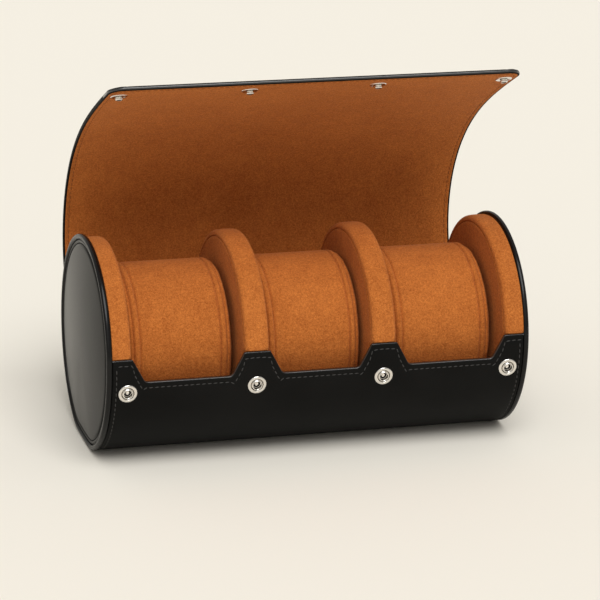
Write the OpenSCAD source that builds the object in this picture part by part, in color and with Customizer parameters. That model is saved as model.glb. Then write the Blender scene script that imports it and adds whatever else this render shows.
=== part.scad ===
// Roll-shaped travel case: a leather trough with padded end walls and dividers, lift-out
// pillows, and a stiffened flap that curls over the top and snaps to the front.
// Millimetres. +X runs along the case, -Y faces the front, +Z is up, and the origin is
// the centre of the flat base.

/* [Case] */
// Outer radius of the leather wrap
case_r = 57; // [50:0.5:64]
// Half the width of the flat base
base_half_w = 15; // [12:0.5:22]
// Thickness of the wrap's leather
leather_t = 1.4; // [1:0.1:2.4]
// Thickness of the stiff board inside the wrap
board_t = 1.2; // [1:0.1:2.4]
// Thickness of the suede
suede_t = 0.8; // [0.6:0.1:1.4]

/* [Cells] */
// Thickness of a divider
divider_t = 13; // [9:0.5:18]
// Thickness of an end wall, board and suede included
end_wall_t = 10.2; // [7:0.2:16]
// Gap between the middle pillow and a divider
middle_side_gap = 1.25; // [0.6:0.05:4]
// Gap beside each outer pillow
outer_side_gap = 3.5; // [0.6:0.1:6]
// Radius of the rounded edges of dividers and end walls
rim_edge_r = 2.5; // [1.2:0.1:4]
// Half the width of the cradle pad under each pillow
cradle_half_w = 24; // [16:0.5:30]

/* [Pillows] */
// Length of a pillow
pillow_l = 53; // [44:0.5:66]
// Radius of a pillow's rounded ends
pillow_edge_r = 5; // [3:0.5:9]
// Room for a strap between a pillow and the lining
strap_room = 11.6; // [9:0.2:15]
// Gap between a pillow and its cradle pad
seat_gap = 0.3; // [0.2:0.05:0.6]

/* [End caps] */
// Thickness of the leather end panels
panel_t = 1.8; // [1.2:0.1:2.6]
// Thickness of the board behind an end panel
end_board_t = 1.2; // [0.8:0.1:2.4]
// Width of the rolled welt round an end panel
welt_w = 3; // [2.2:0.1:4.5]
// Height of the welt towards the axis
welt_h = 2.8; // [2.2:0.1:4.5]
// Width of the bevels along the welt's outer corners
welt_bevel = 0.9; // [0.4:0.1:1.3]

/* [Front edge] */
// Height of the front edge between the tabs, from the case's axis
notch_rise = -4; // [-8:0.5:4]
// Height of the tabs above the rest of the front edge
tab_h = 12.5; // [6:0.5:16]
// Length along X of a tab's slope
tab_run = 6.6; // [3:0.2:12]
// How far a tab's top reaches past its divider or end wall
tab_reach = 0.4; // [0.1:0.1:2]
// Radius of the corners at the foot of the tabs
notch_r = 3; // [1:0.5:6]
// Radius of the corners at the top of the tabs
tab_r = 0.8; // [0.4:0.1:2]

/* [Flap] */
// Thickness of the flap's leather
flap_leather_t = 1; // [0.8:0.1:1.6]
// Thickness of the flap's stiffener
flap_board_t = 0.6; // [0.4:0.1:1.2]
// Thickness of the flap's suede
flap_suede_t = 0.8; // [0.6:0.1:1.4]
// Gap between the flap's sides and the end panels
flap_side_gap = 1.1; // [0.5:0.1:3]
// Length of the flap past its studs
flap_overhang = 13; // [10:0.5:20]
// Distance from the last crease to the studs
stud_inset = 6; // [5.5:0.5:9]
// Radius of the flap's outer corners
flap_corner_r = 9; // [4:0.5:14]
// Backward lean of the open flap at its root, degrees from upright
root_lean = 49; // [46:1:62]
// Forward lean of the open flap at its tip, degrees from upright
tip_lean = 62.5; // [54:0.5:70]
// How quickly the open flap straightens towards its tip
curl = 2.6; // [2.2:0.1:3.4]
// Number of creases that the flap bends at
creases = 9; // [9:1:12]
// Gap between neighbouring strips of the flap
crease_gap = 0.3; // [0.2:0.05:0.5]

/* [Fits] */
// Gap between the closed flap and the dividers at the back
rim_gap = 0.4; // [0.3:0.05:1]
// Gap between the wrap's edge and the padding that swells over it
edge_gap = 0.2; // [0.1:0.05:0.5]
// Gap between the cradle pads and the dividers
pad_gap = 0.3; // [0.1:0.05:1]
// Gap between stud and socket faces when snapped shut
snap_face_gap = 0.2; // [0.15:0.05:0.5]
// Gap round the stems that pass through leather and board
stem_gap = 0.1; // [0.05:0.05:0.3]

/* [Snaps] */
// Distance of the end snaps from the wrap's ends
end_snap_inset = 8.2; // [7:0.2:14]
// Drop of the sockets below the case's axis
snap_drop = 9.6; // [7:0.1:14]
// Radius of a socket's flange
socket_r = 5; // [4:0.1:6]
// Height of a socket's flange above the leather
socket_lip = 0.4; // [0.2:0.05:0.8]
// Depth that a socket's flange sinks into the leather
socket_sink = 0.3; // [0.25:0.05:0.5]
// Height of a socket's raised ring above the leather
ring_h = 0.9; // [0.6:0.05:1.4]
// Radius of a socket's raised ring
ring_r = 3.2; // [2.8:0.1:3.6]
// Radius of a stud's post
post_r = 2; // [1.6:0.1:2.3]
// Height of a stud's post above the suede
post_h = 2; // [1.5:0.1:2.2]
// Gap round the post inside the socket
post_gap = 0.15; // [0.1:0.05:0.3]
// Radius of a stud's flange
stud_r = 4.5; // [3.5:0.1:5]
// Thickness of the flanges of studs and rivets
flange_t = 0.4; // [0.3:0.05:0.6]
// Radius of the stems of caps and rivets
stem_r = 0.8; // [0.6:0.05:1.1]
// Radius of the caps outside the flap
cap_r = 5.2; // [4:0.1:6.5]
// Height of the caps' dome
cap_h = 1.3; // [0.9:0.1:2]

/* [Hidden] */
$fn = 96;
snap_fn = 48;
leather = "#1c1c1e";
suede = "#b9692f";
board = "#8d7b5f";
foam = "#e0d6b4";
nickel = "#cfccc6";
over = 1;

wall_t = leather_t + board_t + suede_t;
lining_r = case_r - wall_t;
axis_z = sqrt(case_r * case_r - base_half_w * base_half_w);
pillow_r = lining_r - strap_room;

middle_cell_l = pillow_l + 2 * middle_side_gap;
outer_cell_l = pillow_l + 2 * outer_side_gap;
divider_x = (middle_cell_l + divider_t) / 2;
end_wall_x = divider_x + divider_t / 2 + outer_cell_l;
wrap_l = 2 * (end_wall_x + end_wall_t);
outer_cell_x = divider_x + divider_t / 2 + outer_cell_l / 2;
snap_x = [end_snap_inset - wrap_l / 2, -divider_x, divider_x, wrap_l / 2 - end_snap_inset];

notch_z = axis_z + notch_rise;
tab_z = notch_z + tab_h;
tab_half_w = divider_t / 2 + tab_reach;
end_tab_x = end_wall_x - tab_reach;

flap_t = flap_leather_t + flap_board_t + flap_suede_t;
flap_w = wrap_l - 2 * flap_side_gap;
tip_l = stud_inset + flap_overhang;

rim_back_r = case_r - flap_t - rim_gap;
rim_r = (rim_back_r + case_r) / 2;
rim_shift = (case_r - rim_back_r) / 2;

// The closed flap: its creases lie on a circle that passes through the root, at the back
// of the wrap, and through the last crease, just above the studs.
snap_angle = asin(snap_drop / case_r);
closed_r = case_r + ring_h + snap_face_gap + flap_t;
last_y = -closed_r * cos(snap_angle) - stud_inset * sin(snap_angle);
last_z = stud_inset * cos(snap_angle) - closed_r * sin(snap_angle);
curl_shift = (last_y * last_y + last_z * last_z - case_r * case_r) / (2 * (case_r - last_y));
curl_r = case_r + curl_shift;
closed_sweep = 180 - atan2(last_z, -last_y - curl_shift);
strip_turn = closed_sweep / (creases - 1);
strip_l = 2 * curl_r * sin(strip_turn / 2);
flap_l = (creases - 1) * strip_l + tip_l;

// The open flap: strip k runs from crease k - 1 to crease k, and its lean from upright
// eases from the root to the tip.
function length_of(k) = k == creases ? tip_l : strip_l;
function reach_of(k) = k == creases ? flap_l : k * strip_l;
function lean_at(k) = -tip_lean + (root_lean + tip_lean) * pow(1 - reach_of(k) / flap_l, curl);
function chord_lean(k) = (lean_at(k - 1) + lean_at(k)) / 2;
function along(lean) = [sin(lean), cos(lean)];
function inward(lean) = [-cos(lean), sin(lean)];
function crease_at(k) = k == 0 ? [case_r, axis_z] : crease_at(k - 1) + length_of(k) * along(chord_lean(k));
function closed_lean(k) = k == creases ? -180 - snap_angle : -(k - 0.5) * strip_turn;
function closing_turn(k) = k == 0 ? 0 : chord_lean(k) - closed_lean(k);
function joint_turn(k) = closing_turn(k) - closing_turn(k - 1);

// A point of strip k, a share s along its outer face and a depth into it. The strips are
// curved, apart from the last one, which is flat under the snaps.
function strip_point(k, s, depth) =
    let (
        start = lean_at(k - 1),
        turn = lean_at(k) - start,
        chord = length_of(k) * sin(turn * s / 2) / sin(turn / 2)
    )
    k == creases
        ? crease_at(k - 1) + length_of(k) * s * along(chord_lean(k)) + depth * inward(chord_lean(k))
        : crease_at(k - 1) + chord * along(start + turn * s / 2) + depth * inward(start + turn * s);

// Shares at which strip k begins and ends, mitred so that closing the crease shuts it.
function mitre(k) = k == 1 ? 0 : tan(max(joint_turn(k), 0) / 2);
function strip_start(k, depth) = (crease_gap / 2 + depth * mitre(k)) / length_of(k);
function strip_end(k, depth) = k == creases ? 1 : 1 - (crease_gap / 2 + depth * mitre(k + 1)) / length_of(k);
function strip_side(k, depth, steps = 6) =
    [for (i = [0:steps]) let (a = strip_start(k, depth), b = strip_end(k, depth))
        strip_point(k, a + (b - a) * i / steps, depth)];
function reversed(list) = [for (i = [len(list) - 1:-1:0]) list[i]];

// An arc that rounds the corner at b between a and c.
function unit(v) = v / norm(v);
function corner(a, b, c, r, steps = 5) =
    let (
        u = unit(a - b),
        v = unit(c - b),
        half = acos(u * v) / 2,
        centre = b + unit(u + v) * r / sin(half),
        first = b + u * r / tan(half) - centre,
        way = u[0] * v[1] - u[1] * v[0] > 0 ? -1 : 1
    )
    [for (i = [0:steps]) let (t = way * (180 - 2 * half) * i / steps)
        centre + [first[0] * cos(t) - first[1] * sin(t), first[0] * sin(t) + first[1] * cos(t)]];

pillow_names = ["left", "middle", "right"];
pillow_x = [-outer_cell_x, 0, outer_cell_x];

// ---- shared shapes ----

// Extrudes an outline drawn in Y and Z along X.
module along_x(from, to) {
    translate([from, 0, 0])
        rotate([90, 0, 90])
            linear_extrude(to - from)
                children();
}

// A disc of radius r on the case's axis, cut flat at height low.
module flat_disc(r, low) {
    intersection() {
        translate([0, axis_z])
            circle(r = r);
        translate([-case_r, low])
            square(2 * case_r);
    }
}

module wrap_outline(inset) {
    flat_disc(case_r - inset, inset);
}

// Half the section of a disc of revolution with rounded rims.
module disc_profile(r, w, low_r, high_r) {
    square([r - max(low_r, high_r), w]);
    translate([0, low_r])
        square([r, w - low_r - high_r]);
    if (low_r > 0)
        translate([r - low_r, low_r])
            circle(r = low_r);
    if (high_r > 0)
        translate([r - high_r, w - high_r])
            circle(r = high_r);
    if (low_r == 0)
        square([r, w / 2]);
    if (high_r == 0)
        translate([0, w / 2])
            square([r, w / 2]);
}

// The outline of the wrap's front edge in X and Z, with a tab at each divider and end wall.
module front_edge() {
    foot = tab_half_w + tab_run;
    right = [
        [end_tab_x, tab_z, tab_r],
        [end_tab_x - tab_run, notch_z, notch_r],
        [divider_x + foot, notch_z, notch_r],
        [divider_x + tab_half_w, tab_z, tab_r],
        [divider_x - tab_half_w, tab_z, tab_r],
        [divider_x - foot, notch_z, notch_r]
    ];
    left = [for (p = reversed(right)) [-p[0], p[1], p[2]]];
    path = concat([[wrap_l, tab_z, 0]], right, left, [[-wrap_l, tab_z, 0]]);
    points = [for (i = [1:len(path) - 2])
        each corner(
            [path[i - 1][0], path[i - 1][1]],
            [path[i][0], path[i][1]],
            [path[i + 1][0], path[i + 1][1]],
            path[i][2]
        )];
    polygon(concat([[wrap_l, -over], [wrap_l, tab_z]], points, [[-wrap_l, tab_z], [-wrap_l, -over]]));
}

// Everything below the wrap's free edges: the tabbed edge in front and the crease behind.
module wrap_reach() {
    rotate([90, 0, 0])
        linear_extrude(case_r + over)
            front_edge();
    translate([-wrap_l, -over, -over])
        cube([2 * wrap_l, case_r + 2 * over, axis_z - crease_gap / 2 + over]);
}

module wrap_layer(outer, inner) {
    intersection() {
        along_x(-wrap_l / 2, wrap_l / 2)
            difference() {
                wrap_outline(outer);
                wrap_outline(inner);
            }
        wrap_reach();
    }
}

// The space above the wrap's edges, lift higher than the padding's own start.
module above_edges(lift) {
    translate([-wrap_l, -2 * case_r, tab_z + edge_gap + lift])
        cube([2 * wrap_l, 2 * case_r, 3 * case_r]);
    translate([-wrap_l, 0, axis_z + edge_gap + lift])
        cube([2 * wrap_l, 2 * case_r, 3 * case_r]);
}

// A padded disc between two stations. It fills the trough up to the wrap's edges, and
// swells to the rim radius above them.
module padded_disc(from, to, inset, low, from_r, to_r) {
    intersection() {
        translate([from, -rim_shift, axis_z])
            rotate([0, 90, 0])
                rotate_extrude()
                    disc_profile(rim_r - inset, to - from, from_r, to_r);
        above_edges(inset);
    }
    difference() {
        along_x(from, to)
            flat_disc(lining_r - inset, low);
        above_edges(inset);
    }
}

// ---- the wrap ----

module on_sockets() {
    for (x = snap_x)
        translate([x, 0, axis_z])
            rotate([90 + snap_angle, 0, 0])
                translate([0, 0, case_r])
                    children();
}

rivet_z = -leather_t - board_t + flange_t;

module wrap_leather() {
    color(leather)
        difference() {
            wrap_layer(0, leather_t);
            on_sockets() {
                translate([0, 0, -socket_sink])
                    cylinder(r = socket_r + stem_gap, h = 2 * over, $fn = snap_fn);
                translate([0, 0, -leather_t - over])
                    cylinder(r = ring_r + stem_gap, h = leather_t + 2 * over, $fn = snap_fn);
            }
        }
}

module wrap_board() {
    color(board)
        difference() {
            wrap_layer(leather_t, leather_t + board_t);
            on_sockets() {
                translate([0, 0, rivet_z - 2 * over])
                    cylinder(r = stud_r + stem_gap, h = 2 * over, $fn = snap_fn);
                translate([0, 0, rivet_z - over])
                    cylinder(r = stem_r + stem_gap, h = board_t + 2 * over, $fn = snap_fn);
            }
        }
}

module wrap_lining() {
    color(suede)
        wrap_layer(leather_t + board_t, wall_t);
}

module cradle_pad(from, to) {
    along_x(from + pad_gap, to - pad_gap)
        intersection() {
            difference() {
                flat_disc(lining_r, wall_t);
                translate([0, axis_z])
                    circle(r = pillow_r + seat_gap);
            }
            translate([-cradle_half_w, 0])
                square([2 * cradle_half_w, axis_z]);
        }
}

module cradle_pads() {
    color(suede)
        for (i = [0:2]) {
            half = (i == 1 ? middle_cell_l : outer_cell_l) / 2;
            cradle_pad(pillow_x[i] - half, pillow_x[i] + half);
        }
}

// ---- dividers and end walls ----

module divider_solid(inset, low) {
    from = divider_x - divider_t / 2 + inset;
    to = divider_x + divider_t / 2 - inset;
    padded_disc(from, to, inset, low, rim_edge_r - inset, rim_edge_r - inset);
}

module divider_cover() {
    color(suede)
        difference() {
            divider_solid(0, wall_t);
            divider_solid(suede_t, wall_t - over);
        }
}

module divider_foam() {
    color(foam)
        divider_solid(suede_t, wall_t);
}

module end_cover() {
    color(suede)
        difference() {
            padded_disc(end_wall_x, wrap_l / 2, 0, wall_t, rim_edge_r, 0);
            padded_disc(end_wall_x + suede_t, wrap_l / 2 + over, suede_t, wall_t - over, rim_edge_r - suede_t, 0);
        }
}

module end_foam() {
    color(foam)
        padded_disc(end_wall_x + suede_t, wrap_l / 2 - end_board_t, suede_t, wall_t, rim_edge_r - suede_t, 0);
}

module end_board() {
    color(board)
        padded_disc(wrap_l / 2 - end_board_t, wrap_l / 2, suede_t, wall_t, 0, 0);
}

module end_panel() {
    color(leather)
        along_x(wrap_l / 2, wrap_l / 2 + panel_t)
            wrap_outline(welt_h);
}

// A disc on the end of the wrap, cut flat below. Past the bevel's start its sides lean in,
// or out where lean is negative.
module bevelled_disc(inset, from, to, lean) {
    r = case_r - inset;
    start = welt_w - welt_bevel;
    shift = lean * (to - start);
    intersection() {
        translate([wrap_l / 2, 0, axis_z])
            rotate([0, 90, 0])
                rotate_extrude()
                    polygon([[0, from], [r, from], [r, start], [r - shift, to], [0, to]]);
        translate([wrap_l / 2, 2 * case_r, 0])
            rotate([90, 0, 0])
                linear_extrude(4 * case_r)
                    polygon([
                        [from, inset],
                        [start, inset],
                        [to, inset + shift],
                        [to, 3 * case_r],
                        [from, 3 * case_r]
                    ]);
    }
}

module end_welt() {
    color(leather)
        difference() {
            bevelled_disc(0, 0, welt_w, 1);
            bevelled_disc(welt_h, -over, welt_w + over, -1);
        }
}

// ---- snaps in the wrap ----

// Socket: a flange on the leather, a raised ring, and a cup with a floor for the rivet.
module snap_sockets() {
    hole_r = post_r + post_gap;
    floor_low = -leather_t + flange_t;
    color(nickel)
        on_sockets()
            rotate_extrude($fn = snap_fn) {
                translate([ring_r, -socket_sink])
                    square([socket_r - ring_r - socket_lip, socket_sink + socket_lip]);
                translate([ring_r, -socket_sink])
                    square([socket_r - ring_r, socket_sink]);
                intersection() {
                    translate([socket_r - socket_lip, 0])
                        circle(r = socket_lip, $fn = 32);
                    translate([ring_r, 0])
                        square([socket_r - ring_r, socket_lip]);
                }
                translate([hole_r, -leather_t])
                    square([ring_r - hole_r, leather_t + ring_h]);
                translate([stem_r, -leather_t])
                    square([hole_r - stem_r, floor_low + leather_t]);
            }
}

// Rivet: a flange against the board, and a stem that holds the socket's floor.
module snap_rivets() {
    color("#a8a49c")
        on_sockets()
            rotate_extrude($fn = snap_fn) {
                translate([0, rivet_z - flange_t])
                    square([stud_r, flange_t]);
                translate([0, rivet_z])
                    square([stem_r, flange_t - leather_t - rivet_z]);
            }
}

// ---- pillows ----

module pillow_profile(inset) {
    translate([0, inset])
        disc_profile(pillow_r - inset, pillow_l - 2 * inset, pillow_edge_r - inset, pillow_edge_r - inset);
}

module pillow(i) {
    translate([pillow_x[i] - pillow_l / 2, 0, axis_z])
        rotate([0, 90, 0])
            rotate_extrude()
                children();
}

module pillow_sleeve(i) {
    color(suede)
        pillow(i)
            difference() {
                pillow_profile(0);
                pillow_profile(suede_t);
                translate([0, -over])
                    square([pillow_r - pillow_edge_r, pillow_l + 2 * over]);
            }
}

module pillow_ends(i) {
    color(suede)
        pillow(i)
            for (x = [0, pillow_l - suede_t])
                translate([0, x])
                    square([pillow_r - pillow_edge_r, suede_t]);
}

module pillow_foam(i) {
    color(foam)
        pillow(i)
            pillow_profile(suede_t);
}

// ---- the flap ----

// Moves to the last strip's hinge side, with Y towards the tip and Z into the flap.
module on_tip() {
    hinge = crease_at(creases - 1);
    translate([0, hinge[0], hinge[1]])
        rotate([90 - chord_lean(creases), 0, 0])
            children();
}

module on_studs(depth) {
    on_tip()
        for (x = snap_x)
            translate([x, stud_inset, depth])
                children();
}

module tip_corners() {
    on_tip()
        for (side = [-1, 1])
            translate([side * (flap_w / 2 - flap_corner_r), tip_l - flap_corner_r, -over])
                difference() {
                    translate([side > 0 ? 0 : -flap_corner_r - over, 0, 0])
                        cube([flap_corner_r + over, flap_corner_r + over, flap_t + 2 * over]);
                    translate([0, 0, -over])
                        cylinder(r = flap_corner_r, h = flap_t + 4 * over);
                }
}

module flap_layer(k, outer, inner) {
    difference() {
        along_x(-flap_w / 2, flap_w / 2)
            polygon(concat(strip_side(k, outer), reversed(strip_side(k, inner))));
        if (k == creases) {
            tip_corners();
            on_studs(-over)
                cylinder(r = stem_r + stem_gap, h = flap_t + 2 * over, $fn = snap_fn);
            on_studs(flap_t - flange_t)
                cylinder(r = stud_r + stem_gap, h = 2 * over, $fn = snap_fn);
        }
    }
}

module flap_leather(k) {
    color(leather)
        flap_layer(k, 0, flap_leather_t);
}

module flap_stiffener(k) {
    color(board)
        flap_layer(k, flap_leather_t, flap_leather_t + flap_board_t);
}

module flap_suede(k) {
    color(suede)
        flap_layer(k, flap_leather_t + flap_board_t, flap_t);
}

// Stud: a flange let into the suede, and a hollow post with a bulged lip.
module snap_studs() {
    lip_r = post_r - 0.35;
    color(nickel)
        on_studs(flap_t)
            rotate_extrude($fn = snap_fn)
                difference() {
                    union() {
                        translate([0, -flange_t])
                            square([stud_r, flange_t]);
                        square([lip_r, post_h]);
                        translate([lip_r, post_h / 2])
                            intersection() {
                                circle(r = post_r - lip_r, $fn = 32);
                                translate([0, -post_h])
                                    square([post_r, 2 * post_h]);
                            }
                    }
                    translate([0, 0.5])
                        square([lip_r - 0.6, post_h]);
                }
}

// Cap: a low dome outside the flap, and a stem down to the stud.
module snap_caps() {
    dome_r = (cap_r * cap_r + cap_h * cap_h) / (2 * cap_h);
    color(nickel)
        on_studs(0)
            rotate_extrude($fn = snap_fn) {
                intersection() {
                    translate([0, dome_r - cap_h])
                        circle(r = dome_r, $fn = 5 * snap_fn);
                    translate([0, -cap_h])
                        square([cap_r, cap_h]);
                }
                square([stem_r, flap_t - flange_t]);
            }
}

// ---- the assembly ----

wrap_leather();
wrap_board();
wrap_lining();
cradle_pads();
mirror([1, 0, 0]) divider_cover();  // left_divider_cover
mirror([1, 0, 0]) divider_foam();  // left_divider_foam
divider_cover();  // right_divider_cover
divider_foam();  // right_divider_foam
mirror([1, 0, 0]) end_cover();  // left_end_cover
mirror([1, 0, 0]) end_foam();  // left_end_foam
mirror([1, 0, 0]) end_board();  // left_end_board
mirror([1, 0, 0]) end_panel();  // left_end_panel
mirror([1, 0, 0]) end_welt();  // left_end_welt
end_cover();  // right_end_cover
end_foam();  // right_end_foam
end_board();  // right_end_board
end_panel();  // right_end_panel
end_welt();  // right_end_welt
snap_sockets();
snap_rivets();
snap_studs();
snap_caps();
for (i = [0:2]) {
    pillow_sleeve(i);
    pillow_ends(i);
    pillow_foam(i);
}
for (k = [1:creases]) {
    flap_leather(k);
    flap_stiffener(k);
    flap_suede(k);
}
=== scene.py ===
import math

import bmesh
import bpy
from mathutils import Matrix, Vector


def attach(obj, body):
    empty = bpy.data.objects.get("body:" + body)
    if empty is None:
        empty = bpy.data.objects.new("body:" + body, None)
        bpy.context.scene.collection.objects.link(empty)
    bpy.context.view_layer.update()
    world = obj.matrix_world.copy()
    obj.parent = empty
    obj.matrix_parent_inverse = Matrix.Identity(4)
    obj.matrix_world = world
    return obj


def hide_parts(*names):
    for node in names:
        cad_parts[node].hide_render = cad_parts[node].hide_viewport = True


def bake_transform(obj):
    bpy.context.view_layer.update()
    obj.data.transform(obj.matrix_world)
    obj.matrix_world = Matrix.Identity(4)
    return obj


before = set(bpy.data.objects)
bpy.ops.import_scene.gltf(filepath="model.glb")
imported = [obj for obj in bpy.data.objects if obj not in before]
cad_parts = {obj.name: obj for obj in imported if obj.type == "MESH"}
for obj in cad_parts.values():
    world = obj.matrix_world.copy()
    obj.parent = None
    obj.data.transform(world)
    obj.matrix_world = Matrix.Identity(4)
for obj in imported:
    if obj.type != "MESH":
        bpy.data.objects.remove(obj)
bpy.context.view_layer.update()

# ---- sizes, in millimetres, as in the part's source ----

MM = 0.001
CASE_R = 57.0
BASE_HALF_W = 15.0
LEATHER_T = 1.4
BOARD_T = 1.2
SUEDE_T = 0.8
DIVIDER_T = 13.0
END_WALL_T = 10.2
MIDDLE_SIDE_GAP = 1.25
OUTER_SIDE_GAP = 3.5
PILLOW_L = 53.0
STRAP_ROOM = 11.6
WELT_W = 3.0
WELT_H = 2.8
NOTCH_RISE = -4.0
TAB_H = 12.5
TAB_RUN = 6.6
TAB_REACH = 0.4
NOTCH_R = 3.0
TAB_R = 0.8
FLAP_LEATHER_T = 1.0
FLAP_BOARD_T = 0.6
FLAP_SUEDE_T = 0.8
FLAP_SIDE_GAP = 1.1
FLAP_OVERHANG = 13.0
STUD_INSET = 6.0
FLAP_CORNER_R = 9.0
ROOT_LEAN = 49.0
TIP_LEAN = 62.5
CURL = 2.6
CREASES = 9
RIM_GAP = 0.4
EDGE_GAP = 0.2
SNAP_FACE_GAP = 0.2
RING_H = 0.9
SNAP_DROP = 9.6
END_SNAP_INSET = 8.2

WALL_T = LEATHER_T + BOARD_T + SUEDE_T
LINING_R = CASE_R - WALL_T
AXIS_Z = math.sqrt(CASE_R**2 - BASE_HALF_W**2)
PILLOW_R = LINING_R - STRAP_ROOM
MIDDLE_CELL_L = PILLOW_L + 2 * MIDDLE_SIDE_GAP
OUTER_CELL_L = PILLOW_L + 2 * OUTER_SIDE_GAP
DIVIDER_X = (MIDDLE_CELL_L + DIVIDER_T) / 2
END_WALL_X = DIVIDER_X + DIVIDER_T / 2 + OUTER_CELL_L
WRAP_END = END_WALL_X + END_WALL_T
OUTER_CELL_X = DIVIDER_X + DIVIDER_T / 2 + OUTER_CELL_L / 2
NOTCH_Z = AXIS_Z + NOTCH_RISE
TAB_Z = NOTCH_Z + TAB_H

FLAP_T = FLAP_LEATHER_T + FLAP_BOARD_T + FLAP_SUEDE_T
FLAP_HALF_W = WRAP_END - FLAP_SIDE_GAP
RIM_BACK_R = CASE_R - FLAP_T - RIM_GAP
RIM_R = (RIM_BACK_R + CASE_R) / 2
RIM_SHIFT = (CASE_R - RIM_BACK_R) / 2

SNAP_ANGLE = math.asin(SNAP_DROP / CASE_R)
CLOSED_R = CASE_R + RING_H + SNAP_FACE_GAP + FLAP_T
LAST_Y = -CLOSED_R * math.cos(SNAP_ANGLE) - STUD_INSET * math.sin(SNAP_ANGLE)
LAST_Z = STUD_INSET * math.cos(SNAP_ANGLE) - CLOSED_R * math.sin(SNAP_ANGLE)
CURL_SHIFT = (LAST_Y**2 + LAST_Z**2 - CASE_R**2) / (2 * (CASE_R - LAST_Y))
STRIP_TURN = (math.pi - math.atan2(LAST_Z, -LAST_Y - CURL_SHIFT)) / (CREASES - 1)
STRIP_L = 2 * (CASE_R + CURL_SHIFT) * math.sin(STRIP_TURN / 2)
TIP_L = STUD_INSET + FLAP_OVERHANG
LAST_CREASE_S = (CREASES - 1) * STRIP_L
FLAP_L = LAST_CREASE_S + TIP_L

# Details that only the visual model has, in millimetres too. First the seams, and the thread
# in them, which lies a few degrees aslant
STITCH_INSET = 3.0
SIDE_SEAM_INSET = 2.1
PANEL_SEAM_INSET = 2.4
SIDE_SEAM_START = 4.5
STITCH_PITCH = 3.1
PANEL_STITCH_PITCH = 2.8
STITCH_L = 2.3
STITCH_W = 0.62
STITCH_H = 0.42
STITCH_SLANT = 4.0
STITCH_LIFT = 0.12
GROOVE_DEPTH = 0.3
GROOVE_W = 0.7
SEAM_STEP = 1.5

# The wrap: how the leather's ends roll in, the bead of paint on its front edge, and how far
# below that edge the lining stops
END_ROLL = 0.7
END_ROLL_W = 0.9
PAINT_BELOW = 0.32
PAINT_DEPTH = 1.25
PAINT_HALF_H = 0.5
PAINT_HALF_W = 1.05
LINING_DROP = 0.5

# The end panels: where they begin inside the welt, the rise and roll of their edge, and
# their crown
PANEL_INSET = WELT_H - 0.15
PANEL_R = CASE_R - PANEL_INSET
PANEL_BACK = 0.05
PANEL_EDGE_RISE = 2.1
PANEL_EDGE_ROLL = 0.9
PANEL_EDGE_ROLL_W = 1.1
PANEL_CROWN = 2.6
PANEL_GROOVE_SHARE = 1.4
PANEL_STITCH_LIFT = 0.1
PANEL_STITCH_L = 1.9
PANEL_STITCH_W = 0.8

# Dividers and end walls: their gap to the lining where they are tucked in, the lengths over
# which they rise out of the wrap in front and behind, and the dish of their faces
TUCK = 0.15
FRONT_TUCK_L = 1.2
BACK_TUCK_L = 4.0
FACE_DISH = 0.1

# Pillows: the blank that is filled, the grid it is filled on and how far it may swell, the
# seams of the sleeve, how far the ends bulge, and the round edges of the pads below
BLANK_SLACK_R = 1.1
BLANK_SLACK_L = 0.9
BLANK_EDGE_R = 4.2
CUSHION_GRID = 3.4
CUSHION_SWELL = 2.2
SLEEVE_SEAMS = (PILLOW_L / 2 - 6.6, PILLOW_L / 2 - 3.4)
SEAM_DEPTH = 0.95
SEAM_W = 0.5
SEAM_RIDGE = 0.25
MIDDLE_BULGE = 0.8
OUTER_BULGE = 2.2
PAD_EDGE_R = 0.8

# The flap: where its skin leaves the wrap, where its flat tip begins, and its turned and
# painted edge
JOIN_BELOW = 4.0
FLAT_TIP_S = LAST_CREASE_S + 1.4
ROOT_BEND = 5.0
FLAP_STITCH_START = 4.0
BEAD_W = 1.0
BEAD_T = 2.25
BLACK_T = FLAP_LEATHER_T + FLAP_BOARD_T
EDGE_R = 0.7
SUEDE_EDGE_R = 0.3
SUEDE_INSET = BEAD_W + 0.05
SUEDE_STITCH_SINK = 0.17
SUEDE_STITCH_W = 0.5
TIP_PAINT_W = 0.34
TIP_PAINT_SINK = 0.2
TIP_PAINT_HALF_T = 0.7
FLAP_STEP = 1.9

# Snaps: the holes that are cut for the sockets, and the thickness of the painted shade in a recess
HOLE_R = 2.6
HOLE_DEPTH = 1.34
PAINTED_SHADE_T = 0.1


# ---- shader graphs ----


def add(tree, kind, inputs=None, **props):
    """Adds a shader node. An input is a value, or a socket to link from."""
    node = tree.nodes.new(kind)
    for name, value in props.items():
        setattr(node, name, value)
    for key, value in (inputs or {}).items():
        if isinstance(value, bpy.types.NodeSocket):
            tree.links.new(value, node.inputs[key])
        else:
            node.inputs[key].default_value = value
    return node


def new_group(name, inputs, outputs):
    """Starts a node group, and returns it with its input node. Each socket is (name, type, value)."""
    tree = bpy.data.node_groups.new(name, "ShaderNodeTree")
    for label, kind, value in inputs:
        socket = tree.interface.new_socket(label, in_out="INPUT", socket_type=kind)
        socket.default_value = value
    for label, kind in outputs:
        tree.interface.new_socket(label, in_out="OUTPUT", socket_type=kind)
    return tree, tree.nodes.new("NodeGroupInput")


def close_group(tree, results):
    end = tree.nodes.new("NodeGroupOutput")
    for label, socket in results.items():
        tree.links.new(socket, end.inputs[label])


def noise_at(tree, vector, scale, detail, roughness):
    values = {"Vector": vector, "Scale": scale, "Detail": detail, "Roughness": roughness}
    return add(tree, "ShaderNodeTexNoise", values).outputs["Fac"]


def spread(tree, value, low, high, to_low=0.0, to_high=1.0):
    values = {"Value": value, "From Min": low, "From Max": high, "To Min": to_low, "To Max": to_high}
    return add(tree, "ShaderNodeMapRange", values).outputs["Result"]


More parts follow.
